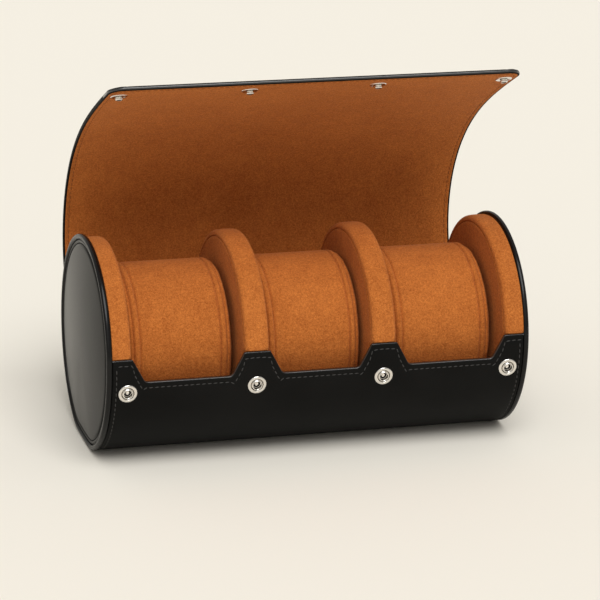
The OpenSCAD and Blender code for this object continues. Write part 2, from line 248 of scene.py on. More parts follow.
def mix_colour(tree, factor, a, b):
    node = add(tree, "ShaderNodeMix", data_type="RGBA", blend_type="MIX")
    for index, value in ((0, factor), (6, a), (7, b)):
        if isinstance(value, bpy.types.NodeSocket):
            tree.links.new(value, node.inputs[index])
        else:
            node.inputs[index].default_value = value
    return node.outputs[2]


def maths(tree, operation, a, b):
    return add(tree, "ShaderNodeMath", {0: a, 1: b}, operation=operation).outputs[0]


def weighted(tree, *parts):
    """Sum of the parts, each of them a value and its share."""
    total = None
    for value, share in parts:
        scaled = maths(tree, "MULTIPLY", value, share)
        total = scaled if total is None else maths(tree, "ADD", total, scaled)
    return total


def darker(colour, share):
    """The colour, brought down to a share of its brightness."""
    return tuple(share * c for c in colour[:3]) + (1,)


def suede_nap():
    """Brushed nap: soft light and dark patches, short fibres, and their relief."""
    tree, inputs = new_group(
        "suede_nap",
        [
            ("Light", "NodeSocketColor", (0.6, 0.25, 0.08, 1)),
            ("Dark", "NodeSocketColor", (0.4, 0.14, 0.04, 1)),
        ],
        [("Color", "NodeSocketColor"), ("Height", "NodeSocketFloat"), ("Roughness", "NodeSocketFloat")],
    )
    place = add(tree, "ShaderNodeTexCoord").outputs["Object"]
    brushed = add(tree, "ShaderNodeMapping", {"Vector": place, "Scale": (1.0, 1.0, 0.55)}).outputs[0]
    patches = spread(tree, noise_at(tree, place, scale=42.0, detail=3.0, roughness=0.55), 0.3, 0.7)
    strokes = spread(tree, noise_at(tree, brushed, scale=210.0, detail=3.0, roughness=0.6), 0.3, 0.7)
    fibres = spread(tree, noise_at(tree, place, scale=850.0, detail=4.0, roughness=0.75), 0.36, 0.64)
    specks = spread(tree, noise_at(tree, place, scale=1700.0, detail=2.0, roughness=0.7), 0.36, 0.64)
    tone = weighted(tree, (patches, 0.16), (strokes, 0.16), (fibres, 0.4), (specks, 0.28))
    colour = mix_colour(tree, tone, inputs.outputs["Dark"], inputs.outputs["Light"])
    height = weighted(tree, (fibres, 0.7), (specks, 0.3))
    rough = spread(tree, strokes, 0.0, 1.0, 0.86, 0.97)
    close_group(tree, {"Color": colour, "Height": height, "Roughness": rough})
    return tree


def leather_grain():
    """Smooth calf leather: fine pores and creases, and a slightly uneven polish."""
    tree, inputs = new_group(
        "leather_grain",
        [("Color", "NodeSocketColor", (0.01, 0.01, 0.01, 1)), ("Roughness", "NodeSocketFloat", 0.4)],
        [("Color", "NodeSocketColor"), ("Height", "NodeSocketFloat"), ("Roughness", "NodeSocketFloat")],
    )
    place = add(tree, "ShaderNodeTexCoord").outputs["Object"]
    bend = add(tree, "ShaderNodeTexNoise", {"Vector": place, "Scale": 500.0}).outputs["Color"]
    bent = add(tree, "ShaderNodeVectorMath", {0: bend}, operation="SCALE")
    bent.inputs["Scale"].default_value = 0.0011
    shifted = add(tree, "ShaderNodeVectorMath", {0: place, 1: bent.outputs[0]}, operation="ADD").outputs[0]
    values = {"Vector": shifted, "Scale": 1250.0}
    cells = add(tree, "ShaderNodeTexVoronoi", values, feature="DISTANCE_TO_EDGE")
    pebbles = spread(tree, cells.outputs["Distance"], 0.0, 0.28)
    pores = noise_at(tree, place, scale=3200.0, detail=2.0, roughness=0.6)
    broad = noise_at(tree, place, scale=30.0, detail=2.0, roughness=0.5)
    height = weighted(tree, (pebbles, 0.6), (pores, 0.4))
    uneven = weighted(
        tree, (maths(tree, "SUBTRACT", broad, 0.5), 0.16), (maths(tree, "SUBTRACT", pores, 0.5), 0.1)
    )
    rough = maths(tree, "ADD", inputs.outputs["Roughness"], uneven)
    rubbed = spread(tree, broad, 0.3, 0.75, 0.0, 0.35)
    worn = mix_colour(tree, rubbed, inputs.outputs["Color"], (0.012, 0.0115, 0.011, 1))
    close_group(tree, {"Color": worn, "Height": height, "Roughness": rough})
    return tree


def new_material(name):
    material = bpy.data.materials.new(name)
    material.use_nodes = True
    tree = material.node_tree
    return material, tree, tree.nodes["Principled BSDF"]


def place_group(tree, group, values):
    """Places a node group in a material, with its own values."""
    node = tree.nodes.new("ShaderNodeGroup")
    node.node_tree = group
    for name, value in values.items():
        node.inputs[name].default_value = value
    return node


def bumped(tree, shader, height, strength, distance):
    """Gives the shader the relief of height. The distance is in metres."""
    bump = add(tree, "ShaderNodeBump", {"Height": height, "Strength": strength, "Distance": distance})
    tree.links.new(bump.outputs["Normal"], shader.inputs["Normal"])


def suede_material(name, light, dark):
    material, tree, shader = new_material(name)
    group = place_group(tree, NAP, {"Light": light, "Dark": dark})
    tree.links.new(group.outputs["Color"], shader.inputs["Base Color"])
    tree.links.new(group.outputs["Roughness"], shader.inputs["Roughness"])
    shader.inputs["Specular IOR Level"].default_value = 0.15
    shader.inputs["Sheen Weight"].default_value = 0.11
    shader.inputs["Sheen Roughness"].default_value = 0.45
    shader.inputs["Sheen Tint"].default_value = (1.0, 0.62, 0.34, 1)
    bumped(tree, shader, group.outputs["Height"], strength=0.55, distance=0.00035)
    return material


def leather_material(name, colour, roughness, gloss, polish, relief):
    """Dyed leather: a dull body with a thin coat of finish that carries the shine."""
    material, tree, shader = new_material(name)
    group = place_group(tree, GRAIN, {"Color": colour, "Roughness": roughness})
    tree.links.new(group.outputs["Color"], shader.inputs["Base Color"])
    tree.links.new(group.outputs["Roughness"], shader.inputs["Roughness"])
    shader.inputs["Specular IOR Level"].default_value = gloss
    shader.inputs["Coat Weight"].default_value = polish
    shader.inputs["Coat Roughness"].default_value = 0.6 * roughness
    bumped(tree, shader, group.outputs["Height"], strength=relief, distance=0.00012)
    return material


def panel_leather_material():
    """Leather of the end panels, whose finish shines most where the face turns away."""
    colour = (0.012, 0.0117, 0.011, 1)
    material = leather_material("panel_leather", colour, roughness=0.5, gloss=0.02, polish=0.5, relief=0.5)
    tree = material.node_tree
    facing = add(tree, "ShaderNodeLayerWeight", {"Blend": 0.5}).outputs["Facing"]
    polish = spread(tree, facing, 0.66, 0.85, 0.05, 0.7)
    tree.links.new(polish, tree.nodes["Principled BSDF"].inputs["Coat Weight"])
    return material


def metal_material(name, colour, roughness):
    """Plated metal, a little hazy and rubbed."""
    material, tree, shader = new_material(name)
    place = add(tree, "ShaderNodeTexCoord").outputs["Object"]
    haze = noise_at(tree, place, scale=900.0, detail=3.0, roughness=0.6)
    rub = spread(tree, haze, 0.3, 0.7, roughness - 0.05, roughness + 0.08)
    tree.links.new(rub, shader.inputs["Roughness"])
    tone = mix_colour(tree, spread(tree, haze, 0.3, 0.7), colour, darker(colour, 0.86))
    tree.links.new(tone, shader.inputs["Base Color"])
    shader.inputs["Metallic"].default_value = 1.0
    return material


def thread_material(name, colour):
    """Twisted thread. In black it is also the painted shade that lines the snaps' recesses."""
    material, tree, shader = new_material(name)
    place = add(tree, "ShaderNodeTexCoord").outputs["Object"]
    twist = noise_at(tree, place, scale=2400.0, detail=2.0, roughness=0.6)
    tree.links.new(mix_colour(tree, twist, darker(colour, 0.6), colour), shader.inputs["Base Color"])
    shader.inputs["Roughness"].default_value = 0.8
    shader.inputs["Specular IOR Level"].default_value = 0.15
    bumped(tree, shader, twist, strength=0.5, distance=0.0001)
    return material


NAP = suede_nap()
GRAIN = leather_grain()
TAN_SUEDE = suede_material("tan_suede", light=(0.66, 0.215, 0.045, 1), dark=(0.27, 0.063, 0.008, 1))
BLACK_LEATHER = leather_material(
    "black_leather", (0.0035, 0.0035, 0.0032, 1), roughness=0.6, gloss=0.02, polish=0.12, relief=0.4
)
WELT_LEATHER = leather_material(
    "welt_leather", (0.0025, 0.0025, 0.0024, 1), roughness=0.3, gloss=0.02, polish=0.42, relief=0.25
)
PANEL_LEATHER = panel_leather_material()
EDGE_PAINT = leather_material(
    "edge_paint", (0.004, 0.004, 0.004, 1), roughness=0.42, gloss=0.5, polish=1.0, relief=0.1
)
NICKEL = metal_material("nickel", (0.84, 0.81, 0.76, 1), roughness=0.16)
BLACK_THREAD = thread_material("black_thread", (0.06, 0.058, 0.056, 1))
TAN_THREAD = thread_material("tan_thread", (0.3, 0.095, 0.025, 1))
# Black thread for the panel seams, and the painted shade in the snaps' recesses
DARK_THREAD_AND_SHADE = thread_material("dark_thread_and_painted_shade", (0.004, 0.004, 0.004, 1))


# ---- mesh helpers ----


def make_piece(bm, name, material, sharp=35.0):
    """Turns a bmesh drawn in millimetres into an object at the origin."""
    bmesh.ops.scale(bm, vec=(MM, MM, MM), verts=bm.verts)
    bmesh.ops.recalc_face_normals(bm, faces=bm.faces)
    mesh = bpy.data.meshes.new(name)
    bm.to_mesh(mesh)
    bm.free()
    mesh.shade_smooth()
    mesh.set_sharp_from_angle(angle=math.radians(sharp))
    mesh.materials.append(material)
    piece = bpy.data.objects.new(name, mesh)
    bpy.context.scene.collection.objects.link(piece)
    return piece


def loft(rings, round_trip=False):
    """Skins closed rings of points, each with the same number of points, and closes both ends.
    With round_trip, the last ring meets the first instead."""
    bm = bmesh.new()
    rows = rings + rings[:1] if round_trip else rings
    columns = len(rows[0]) + 1
    bmesh.ops.create_grid(bm, x_segments=columns - 1, y_segments=len(rows) - 1, size=1)
    bm.verts.ensure_lookup_table()
    for j, ring in enumerate(rows):
        for i, point in enumerate(ring + ring[:1]):
            bm.verts[j * columns + i].co = point
    bmesh.ops.remove_doubles(bm, verts=bm.verts, dist=1e-4)
    if not round_trip:
        open_edges = [e for e in bm.edges if e.is_boundary]
        filled = bmesh.ops.holes_fill(bm, edges=open_edges, sides=0)
        bmesh.ops.triangulate(bm, faces=filled["faces"])
    return bm


def turn_steps(count):
    """The angles of a full turn in count steps."""
    return [2 * math.pi * i / count for i in range(count)]


def smoothstep(t):
    t = min(max(t, 0.0), 1.0)
    return t * t * (3 - 2 * t)


def lerp(a, b, t):
    return a + (b - a) * t


def steps_between(a, b, longest):
    """Evenly spaced values from a to b, no further apart than longest."""
    count = max(1, math.ceil(abs(b - a) / longest))
    return [lerp(a, b, i / count) for i in range(count + 1)]


def groove(distance):
    """Depth of the shallow channel that a line of stitches pulls into a surface."""
    return GROOVE_DEPTH * math.exp(-(((distance - STITCH_INSET) / GROOVE_W) ** 2))


def walk(path, pitch):
    """Points at equal spacing along a path of points, as (point, direction)."""
    found = []
    due = pitch / 2
    for a, b in zip(path, path[1:]):
        a, b = Vector(a), Vector(b)
        length = (b - a).length
        while due <= length and length > 0:
            found.append((a + (b - a) * (due / length), (b - a) / length))
            due += pitch
        due -= length
    return found


def add_stitch(bm, point, along, out, length=STITCH_L, width=STITCH_W):
    """One stitch: a slim bead that lies along the seam, half sunk in it."""
    side = out.cross(along).normalized()
    turn = Matrix.Rotation(math.radians(STITCH_SLANT), 3, out)
    axes = Matrix((turn @ along.normalized() * length, turn @ side * width, out.normalized() * STITCH_H))
    place = Matrix.Translation(point) @ axes.transposed().to_4x4() @ Matrix.Rotation(math.pi / 2, 4, "Y")
    bmesh.ops.create_uvsphere(bm, u_segments=6, v_segments=5, radius=0.5, matrix=place)


# ---- the wrap ----

# The flat base counts where the sine of phi is past BASE_NEAR, and BASE_CREASE says how sharply
# the round turns into it. LONG_STEP and SLOPE_STEP are lengths along the wrap, SEAM_TURN is in
# radians, and a station is the distance of a section from the wrap's end, or of a row of points
# below its front edge.
BASE_NEAR = 0.5
BASE_CREASE = 1.2
CORNER_STEPS = 5
ROUND_STEPS = 56
SEAM_TURN = 0.02
PAINT_STEPS = 12
LONG_STEP = 5.0
SLOPE_STEP = 0.9
END_STATIONS = [0, 0.3, 0.8, 1.4, 2.0, 2.5, 3.0, 3.5, 4.0, 4.8, 6.0]
SEAM_STATIONS = [1.0, 1.6, 2.1, 2.6, 3.0, 3.4, 3.9, 4.5, 5.5, 7.0]


def outline_r(phi, inset=0.0):
    """Distance from the case's axis to the wrap's section. phi is 0 in front, on the axis'
    height, and a quarter turn at the flat base, whose corners are gently rounded."""
    r = CASE_R - inset
    down = math.sin(phi)
    if down < BASE_NEAR:
        return r
    flat = (AXIS_Z - inset) / down
    return -math.log(math.exp(-BASE_CREASE * (r - flat)) + 1.0) / BASE_CREASE + flat


def wrap_point(x, phi, inset):
    """Point of the wrap's section at x, inset below its outer face."""
    r = outline_r(phi, inset)
    return Vector((x, -r * math.cos(phi), AXIS_Z - r * math.sin(phi)))


def from_axis(point):
    """The way from the case's axis to a point of the wrap."""
    return Vector((0, point.y, point.z - AXIS_Z))


def rounded_corner(a, b, c, r):
    """Points of the arc that rounds the corner at b."""
    a, b, c = Vector(a), Vector(b), Vector(c)
    u, v = (a - b).normalized(), (c - b).normalized()
    half = u.angle(v) / 2
    centre = b + (u + v).normalized() * (r / math.sin(half))
    first = b + u * (r / math.tan(half)) - centre
    last = b + v * (r / math.tan(half)) - centre
    turn = first.angle_signed(last)
    steps = range(CORNER_STEPS + 1)
    return [centre + Matrix.Rotation(-turn * i / CORNER_STEPS, 2) @ first for i in steps]


def front_edge():
    """The wrap's front edge as points (x, z), with a tab at each divider and end wall."""
    half = DIVIDER_T / 2 + TAB_REACH
    end = END_WALL_X - TAB_REACH
    right = [
        (DIVIDER_X - half - TAB_RUN, NOTCH_Z, NOTCH_R),
        (DIVIDER_X - half, TAB_Z, TAB_R),
        (DIVIDER_X + half, TAB_Z, TAB_R),
        (DIVIDER_X + half + TAB_RUN, NOTCH_Z, NOTCH_R),
        (end - TAB_RUN, NOTCH_Z, NOTCH_R),
        (end, TAB_Z, TAB_R),
    ]
    left = [(-x, z, r) for x, z, r in reversed(right)]
    path = [(-WRAP_END, TAB_Z, 0)] + left + right + [(WRAP_END, TAB_Z, 0)]
    points = [Vector(path[0][:2])]
    for i in range(1, len(path) - 1):
        points += rounded_corner(path[i - 1][:2], path[i][:2], path[i + 1][:2], path[i][2])
    return points + [Vector(path[-1][:2])]


EDGE = front_edge()


def edge_height(x):
    """Height of the wrap's front edge at x."""
    for a, b in zip(EDGE, EDGE[1:]):
        if a.x <= x <= b.x and b.x > a.x:
            return lerp(a.y, b.y, (x - a.x) / (b.x - a.x))
    return TAB_Z


def edge_steepness(x):
    """How much longer the way down is than the way square to the edge, near x."""
    rise = (edge_height(x + 1) - edge_height(x - 1)) / 2
    return math.hypot(1, rise)


def wrap_columns():
    """Places along the wrap at which its section is drawn."""
    ends = {side * (WRAP_END - d) for d in END_STATIONS for side in (-1, 1)}
    marks = sorted({round(p.x, 3) for p in EDGE} | ends)
    columns = []
    for a, b in zip(marks, marks[1:]):
        if b - a < 0.02:
            continue
        steep = abs(edge_height(b) - edge_height(a)) > 0.5
        columns += steps_between(a, b, SLOPE_STEP if steep else LONG_STEP)[:-1]
    return columns + [marks[-1]]


BACK_PHI = math.pi - JOIN_BELOW / CASE_R


def front_phi(x, below):
    """Angle of the point that lies below the front edge, square to it."""
    top = -math.asin((edge_height(x) - AXIS_Z) / CASE_R)
    return top + below * edge_steepness(x) / CASE_R


def wrap_layer(name, outer, inner, edge_out, edge_in, grooved, material, drop=0.0):
    """One layer of the wrap, from depth outer to depth inner. Its front edge is rounded by
    edge_out and edge_in and lies drop below the wrap's. The leather is the grooved layer,
    which also rolls in at its ends."""
    rings = []
    for x in wrap_columns():
        end = WRAP_END - abs(x)
        roll = END_ROLL * max(0.0, 1 - end / END_ROLL_W) ** 2 if grooved else 0.0
        side_dent = groove(end + STITCH_INSET - SIDE_SEAM_INSET) if grooved else 0.0
        last = front_phi(x, SEAM_STATIONS[-1])
        ring = []
        for degrees in (0, 22.5, 45, 67.5, 90):
            t = math.radians(degrees)
            depth = outer + edge_out * (1 - math.sin(t)) + roll
            ring.append((front_phi(x, drop + edge_out * (1 - math.cos(t))), depth))
        for below in SEAM_STATIONS:
            dent = max(groove(below), side_dent) if grooved else 0.0
            ring.append((front_phi(x, below), outer + dent + roll))
        for i in range(1, ROUND_STEPS + 1):
            ring.append((lerp(last, BACK_PHI, i / ROUND_STEPS), outer + side_dent + roll))
        for i in range(ROUND_STEPS, 0, -2):
            ring.append((lerp(last, BACK_PHI, i / ROUND_STEPS), inner))
        for below in (SEAM_STATIONS[-1], STITCH_INSET):
            ring.append((front_phi(x, below), inner))
        for degrees in (90, 60, 30, 0):
            t = math.radians(degrees)
            depth = inner - edge_in * (1 - math.sin(t))
            ring.append((front_phi(x, drop + edge_in * (1 - math.cos(t))), depth))
        rings.append([wrap_point(x, phi, depth) for phi, depth in ring])
    return make_piece(loft(rings), name, material)


def wrap_stitches():
    """Stitches below the wrap's front edge and along both its ends."""
    bm = bmesh.new()
    depth = GROOVE_DEPTH - STITCH_LIFT
    columns = [x for x in wrap_columns() if WRAP_END - abs(x) >= SIDE_SEAM_INSET]
    path = [wrap_point(x, front_phi(x, STITCH_INSET), depth) for x in columns]
    for point, along in walk(path, STITCH_PITCH):
        add_stitch(bm, point, along, from_axis(point).normalized())
    for side in (-1, 1):
        x = side * (WRAP_END - SIDE_SEAM_INSET)
        angles = steps_between(front_phi(x, SIDE_SEAM_START), BACK_PHI, SEAM_TURN)
        path = [wrap_point(x, phi, depth) for phi in angles]
        for point, along in walk(path, STITCH_PITCH):
            out = Vector((0, along.z, -along.y))
            if out.dot(from_axis(point)) < 0:
                out = -out
            add_stitch(bm, point, along, out)
    return make_piece(bm, "wrap_stitches", BLACK_THREAD)


def painted_edge():
    """The polished bead of edge paint along the wrap's front edge."""
    rings = []
    for x in wrap_columns():
        ring = []
        for t in turn_steps(PAINT_STEPS):
            below = PAINT_BELOW - PAINT_HALF_H * math.sin(t)
            ring.append(wrap_point(x, front_phi(x, below), PAINT_DEPTH + PAINT_HALF_W * math.cos(t)))
        rings.append(ring)
    piece = make_piece(loft(rings), "front_edge_bead", EDGE_PAINT, sharp=60)
    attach(piece, "case")


BLACK_WALL_T = LEATHER_T + BOARD_T
leather_body = wrap_layer(
    "wrap_skin", 0.0, BLACK_WALL_T, edge_out=0.75, edge_in=0.25, grooved=True, material=BLACK_LEATHER
)
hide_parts("wrap_leather", "wrap_board")
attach(leather_body, "case")
lining_body = wrap_layer(
    "wrap_lining_skin", BLACK_WALL_T, WALL_T, edge_out=0.3, edge_in=0.3, grooved=False,
    material=TAN_SUEDE, drop=LINING_DROP
)
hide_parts("wrap_lining")
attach(lining_body, "case")
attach(wrap_stitches(), "case")
painted_edge()


# ---- end caps ----

CAP_ANGLES = turn_steps(160)
WELT_STEPS = 20
WELT_FULLNESS = 0.85
PANEL_STATIONS = [0, 0.15, 0.35, 0.6, 0.9, 1.2, 1.6, 2.0, 2.4, 2.8, 3.3, 4.0, 5.5, 8, 12]
PANEL_SHARES = (0.85, 0.7, 0.55, 0.4, 0.25, 0.12, 0.02)


def side_name(side):
    return "left" if side < 0 else "right"


def fuller(part):
    """A sine or cosine, pushed outwards, which makes an oval a little squarer."""
    return math.copysign(abs(part) ** WELT_FULLNESS, part)


def end_welt(side):
    """The rolled leather welt: an upright oval section carried round the wrap's outline."""
    rings = []
    for phi in CAP_ANGLES:
        ring = []
        for t in turn_steps(WELT_STEPS):
            x = WRAP_END + WELT_W / 2 * (1 + fuller(math.cos(t)))
            ring.append(wrap_point(side * x, phi, WELT_H / 2 * (1 - fuller(math.sin(t)))))
        rings.append(ring)
    name = side_name(side)
    piece = make_piece(loft(rings, round_trip=True), f"{name}_welt_roll", WELT_LEATHER)
    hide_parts(f"{name}_end_welt")
    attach(piece, "case")


def panel_height(d):
    """Height of the end panel's face over the wrap's end, at distance d from its edge."""
    roll = PANEL_EDGE_ROLL * max(0.0, 1 - d / PANEL_EDGE_ROLL_W) ** 2
    crown = PANEL_CROWN * (1 - (1 - d / PANEL_R) ** 2)
    seam = PANEL_GROOVE_SHARE * groove(d + STITCH_INSET - PANEL_SEAM_INSET)
    return PANEL_EDGE_RISE - roll - seam + crown


def end_panel(side):
    """The crowned leather panel inside the welt, and the stitches that hold it."""
    name = side_name(side)
    rings = [[wrap_point(side * (WRAP_END + PANEL_BACK), phi, PANEL_INSET) for phi in CAP_ANGLES]]
    for d in PANEL_STATIONS:
        x = side * (WRAP_END + panel_height(d))
        rings.append([wrap_point(x, phi, PANEL_INSET + d) for phi in CAP_ANGLES])
    rim = rings[-1]
    for share in PANEL_SHARES:
        x = side * (WRAP_END + panel_height(lerp(PANEL_R, PANEL_STATIONS[-1], share)))
        rings.append([Vector((x, point.y * share, lerp(AXIS_Z, point.z, share))) for point in rim])
    piece = make_piece(loft(rings), f"{name}_panel_skin", PANEL_LEATHER)
    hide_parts(f"{name}_end_panel", f"{name}_end_board")
    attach(piece, "case")
    bm = bmesh.new()
    x = side * (WRAP_END + panel_height(PANEL_SEAM_INSET) + PANEL_STITCH_LIFT)
    path = [wrap_point(x, phi, PANEL_INSET + PANEL_SEAM_INSET) for phi in CAP_ANGLES + [0]]
    for point, along in walk(path, PANEL_STITCH_PITCH):
        add_stitch(bm, point, along, Vector((side, 0, 0)), PANEL_STITCH_L, PANEL_STITCH_W)
    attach(make_piece(bm, f"{name}_panel_stitches", DARK_THREAD_AND_SHADE), "case")


for side in (-1, 1):
    end_welt(side)
    end_panel(side)


# ---- dividers and end walls ----

RIM_STEPS = 192
DIVIDER_CROWN = 0.12
END_WALL_CROWN = 0.05

# A padded face from its middle outwards, as (share of the dish, share of the radius), and then
# its edge from the face to the rim over the seam, as (depth below the face, inset from the rim)
FACE_STATIONS = [(1.0, 0.02), (1.0, 0.35), (0.92, 0.62), (0.7, 0.8), (0.35, 0.9)]
EDGE_STATIONS = [
    (0.0, 5.2), (0.02, 4.3), (0.1, 3.8), (0.3, 3.5), (0.95, 3.25), (0.3, 3.0), (0.1, 2.7),
    (0.08, 2.3), (0.22, 1.65), (0.55, 1.0), (1.05, 0.55), (1.7, 0.24), (2.5, 0.06), (3.4, 0.0),
]


def rim_reach(phi):
    """Distance from the axis to a divider's edge: the rim above the wrap's edges, and the
    lining below them, with a soft tuck where the rim goes behind the wrap's edge."""
    shift = RIM_SHIFT * math.cos(phi)
    free = shift + math.sqrt(RIM_R**2 - RIM_SHIFT**2 + shift**2)
    down = math.sin(phi)
    tucked = LINING_R - TUCK
    if down > BASE_NEAR:
        tucked = min(tucked, (AXIS_Z - WALL_T) / down)
    front = -math.asin((TAB_Z + EDGE_GAP - AXIS_Z) / CASE_R)
    past_front = (front - phi) * CASE_R
    past_back = (phi + math.pi) * CASE_R
    rise = smoothstep(past_front / FRONT_TUCK_L + 0.3) * smoothstep(past_back / BACK_TUCK_L + 0.2)
    return lerp(tucked, free, rise)


def padded_disc(name, side, stations, nodes):
    """A padded board on edge, on one side of the case. Each station is (distance from the
    case's middle, inset from the rim, share of the radius that is left)."""
    angles = [math.pi * (2 * i / RIM_STEPS - 1) for i in range(RIM_STEPS)]
    rings = []
    for x, inset, share in stations:
        ring = []
        for phi in angles:
            r = (rim_reach(phi) - inset) * share
            ring.append(Vector((side * x, -r * math.cos(phi), AXIS_Z - r * math.sin(phi))))
        rings.append(ring)
    piece = make_piece(loft(rings), name, TAN_SUEDE, sharp=50)
    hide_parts(*nodes)
    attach(piece, "case")


def padded_face(face_x, inward):
    """Stations from the middle of a face over its rounded edge to the rim. inward is 1 where
    the padding lies at larger x, and -1 where it lies at smaller x."""
    face = [(face_x + inward * FACE_DISH * dish, 0, share) for dish, share in FACE_STATIONS]
    return face + [(face_x + inward * depth, inset, 1) for depth, inset in EDGE_STATIONS]


def divider(side):
    """A padded divider with a seam on both faces and a slightly full rim."""
    low, high = DIVIDER_X - DIVIDER_T / 2, DIVIDER_X + DIVIDER_T / 2
    stations = padded_face(low, 1)
    stations += [(lerp(low, high, share), -DIVIDER_CROWN, 1) for share in (0.35, 0.5, 0.65)]
    stations += list(reversed(padded_face(high, -1)))
    name = side_name(side)
    padded_disc(f"{name}_divider_pad", side, stations, [f"{name}_divider_cover", f"{name}_divider_foam"])


def end_wall(side):
    """A padded end wall with a seam on its inner face. Its back lies on the end board."""
    stations = padded_face(END_WALL_X, 1)
    stations += [(lerp(END_WALL_X, WRAP_END, share), -END_WALL_CROWN, 1) for share in (0.45, 0.7, 0.9)]
    stations += [(WRAP_END - 0.1, 0.3, 1), (WRAP_END, 0.9, 1), (WRAP_END, 4, 0.5), (WRAP_END, 4, 0.02)]
    name = side_name(side)
    padded_disc(f"{name}_end_pad", side, stations, [f"{name}_end_cover", f"{name}_end_foam"])


for side in (-1, 1):
    divider(side)
    end_wall(side)


# ---- pillows and their cradle pads ----

PRESSURE = 4.0
FILL_STEPS = 20
SLEEVE_FROM_R = 30.0


def pillow_blank():
    """The pillow before it is filled: a drum a little smaller than its sleeve."""
    r = PILLOW_R - BLANK_SLACK_R
    half = PILLOW_L / 2 - BLANK_SLACK_L
    end = [(-half, 0.5), (-half, r * 0.4), (-half, r * 0.75), (-half, r - BLANK_EDGE_R)]
    for degrees in (30, 60, 90):
        t = math.radians(degrees)
        end.append((-half + BLANK_EDGE_R * (1 - math.cos(t)), r - BLANK_EDGE_R * (1 - math.sin(t))))
    middle = [(x, r) for x in steps_between(-half + BLANK_EDGE_R, half - BLANK_EDGE_R, 5)[1:-1]]
    stations = end + middle + [(-x, q) for x, q in reversed(end)]
    angles = CAP_ANGLES[::2]
    return loft([[Vector((x, q * math.cos(a), q * math.sin(a))) for a in angles] for x, q in stations])


def evaluated_mesh(piece):
    """A piece's mesh with its modifiers applied."""
    bpy.context.view_layer.update()
    return bpy.data.meshes.new_from_object(piece.evaluated_get(bpy.context.evaluated_depsgraph_get()))


def fill_cushion(piece, grid, swell):
    """Blows a closed mesh up with a cloth simulation, on a grid of its own. No point moves
    further than swell. Both are in metres."""
    remesh = piece.modifiers.new("Remesh", "REMESH")
    remesh.mode = "VOXEL"
    remesh.voxel_size = grid
    shape = evaluated_mesh(piece)
    piece.modifiers.clear()
    piece.data = shape
    start = [v.co.copy() for v in shape.vertices]
    cloth = piece.modifiers.new("Cloth", "CLOTH")
    cloth.settings.use_pressure = True
    cloth.settings.uniform_pressure_force = PRESSURE
    cloth.settings.effector_weights.gravity = 0.0
    cloth.point_cache.frame_start = 1
    cloth.point_cache.frame_end = FILL_STEPS
    for step in range(1, FILL_STEPS + 1):
        bpy.context.scene.frame_set(step)
    filled = evaluated_mesh(piece)
    piece.modifiers.clear()
    piece.data = filled
    bpy.context.scene.frame_set(1)
    for vertex, before in zip(filled.vertices, start):
        move = vertex.co - before
        if move.length > swell:
            vertex.co = before + move * (swell / move.length)


def sleeve_seam(x):
    """How far the sleeve is drawn in at x: at the two seams near each end, with a soft ridge
    between them."""
    near = min(abs(abs(x) - seam) for seam in SLEEVE_SEAMS)
    ridge = SEAM_RIDGE if SLEEVE_SEAMS[0] < abs(x) < SLEEVE_SEAMS[1] else 0.0
    return SEAM_DEPTH * math.exp(-((near / SEAM_W) ** 2)) - ridge


def cushion_mesh():
    """The filled pillow, lying along x at the origin, with the sleeve's seams drawn in."""
    piece = make_piece(pillow_blank(), "pillow_blank", TAN_SUEDE)
    fill_cushion(piece, CUSHION_GRID * MM, CUSHION_SWELL * MM)
    bm = bmesh.new()
    bm.from_mesh(piece.data)
    bpy.data.objects.remove(piece)
    bmesh.ops.scale(bm, vec=(1 / MM,) * 3, verts=bm.verts)
    bmesh.ops.subdivide_edges(bm, edges=bm.edges, cuts=1, use_grid_fill=True, smooth=1.0)
    for x in [seam + step for seam in SLEEVE_SEAMS for step in (-1.0, -0.5, 0.0, 0.5, 1.0)]:
        for side in (-1, 1):
            everything = bm.verts[:] + bm.edges[:] + bm.faces[:]
            spot = (side * x, 0, 0)
            bmesh.ops.bisect_plane(bm, geom=everything, dist=1e-4, plane_co=spot, plane_no=(1, 0, 0))
    for vertex in bm.verts:
        r = math.hypot(vertex.co.y, vertex.co.z)
        if r > 1:
            seam = sleeve_seam(vertex.co.x) if r > SLEEVE_FROM_R else 0.0
            wanted = min(r, PILLOW_R - 0.1) - seam
            vertex.co.y *= wanted / r
            vertex.co.z *= wanted / r
        vertex.co.x = min(max(vertex.co.x, -PILLOW_L / 2), PILLOW_L / 2)
    return bm


def pillow(cushion, name, x, bulge, turn):
    """One pillow in its cell: a copy of the cushion, turned so that no two look alike, with
    its ends bulging into the free space beside it."""
    bm = cushion.copy()
    bmesh.ops.rotate(bm, cent=(0, 0, 0), matrix=Matrix.Rotation(turn, 3, "X"), verts=bm.verts)
    bmesh.ops.scale(bm, vec=(1 + 2 * bulge / PILLOW_L, 1, 1), verts=bm.verts)
    bmesh.ops.translate(bm, vec=(x, 0, AXIS_Z), verts=bm.verts)
    piece = make_piece(bm, f"{name}_pillow_cushion", TAN_SUEDE, sharp=60)
    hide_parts(*[f"{name}_pillow_{part}" for part in ("sleeve", "ends", "foam")])
    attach(piece, f"{name}_pillow")


cushion = cushion_mesh()
pillow(cushion, "left", -OUTER_CELL_X, OUTER_BULGE, 0.0)
pillow(cushion, "middle", 0.0, MIDDLE_BULGE, 0.7)
pillow(cushion, "right", OUTER_CELL_X, OUTER_BULGE, 1.4)
cushion.free()


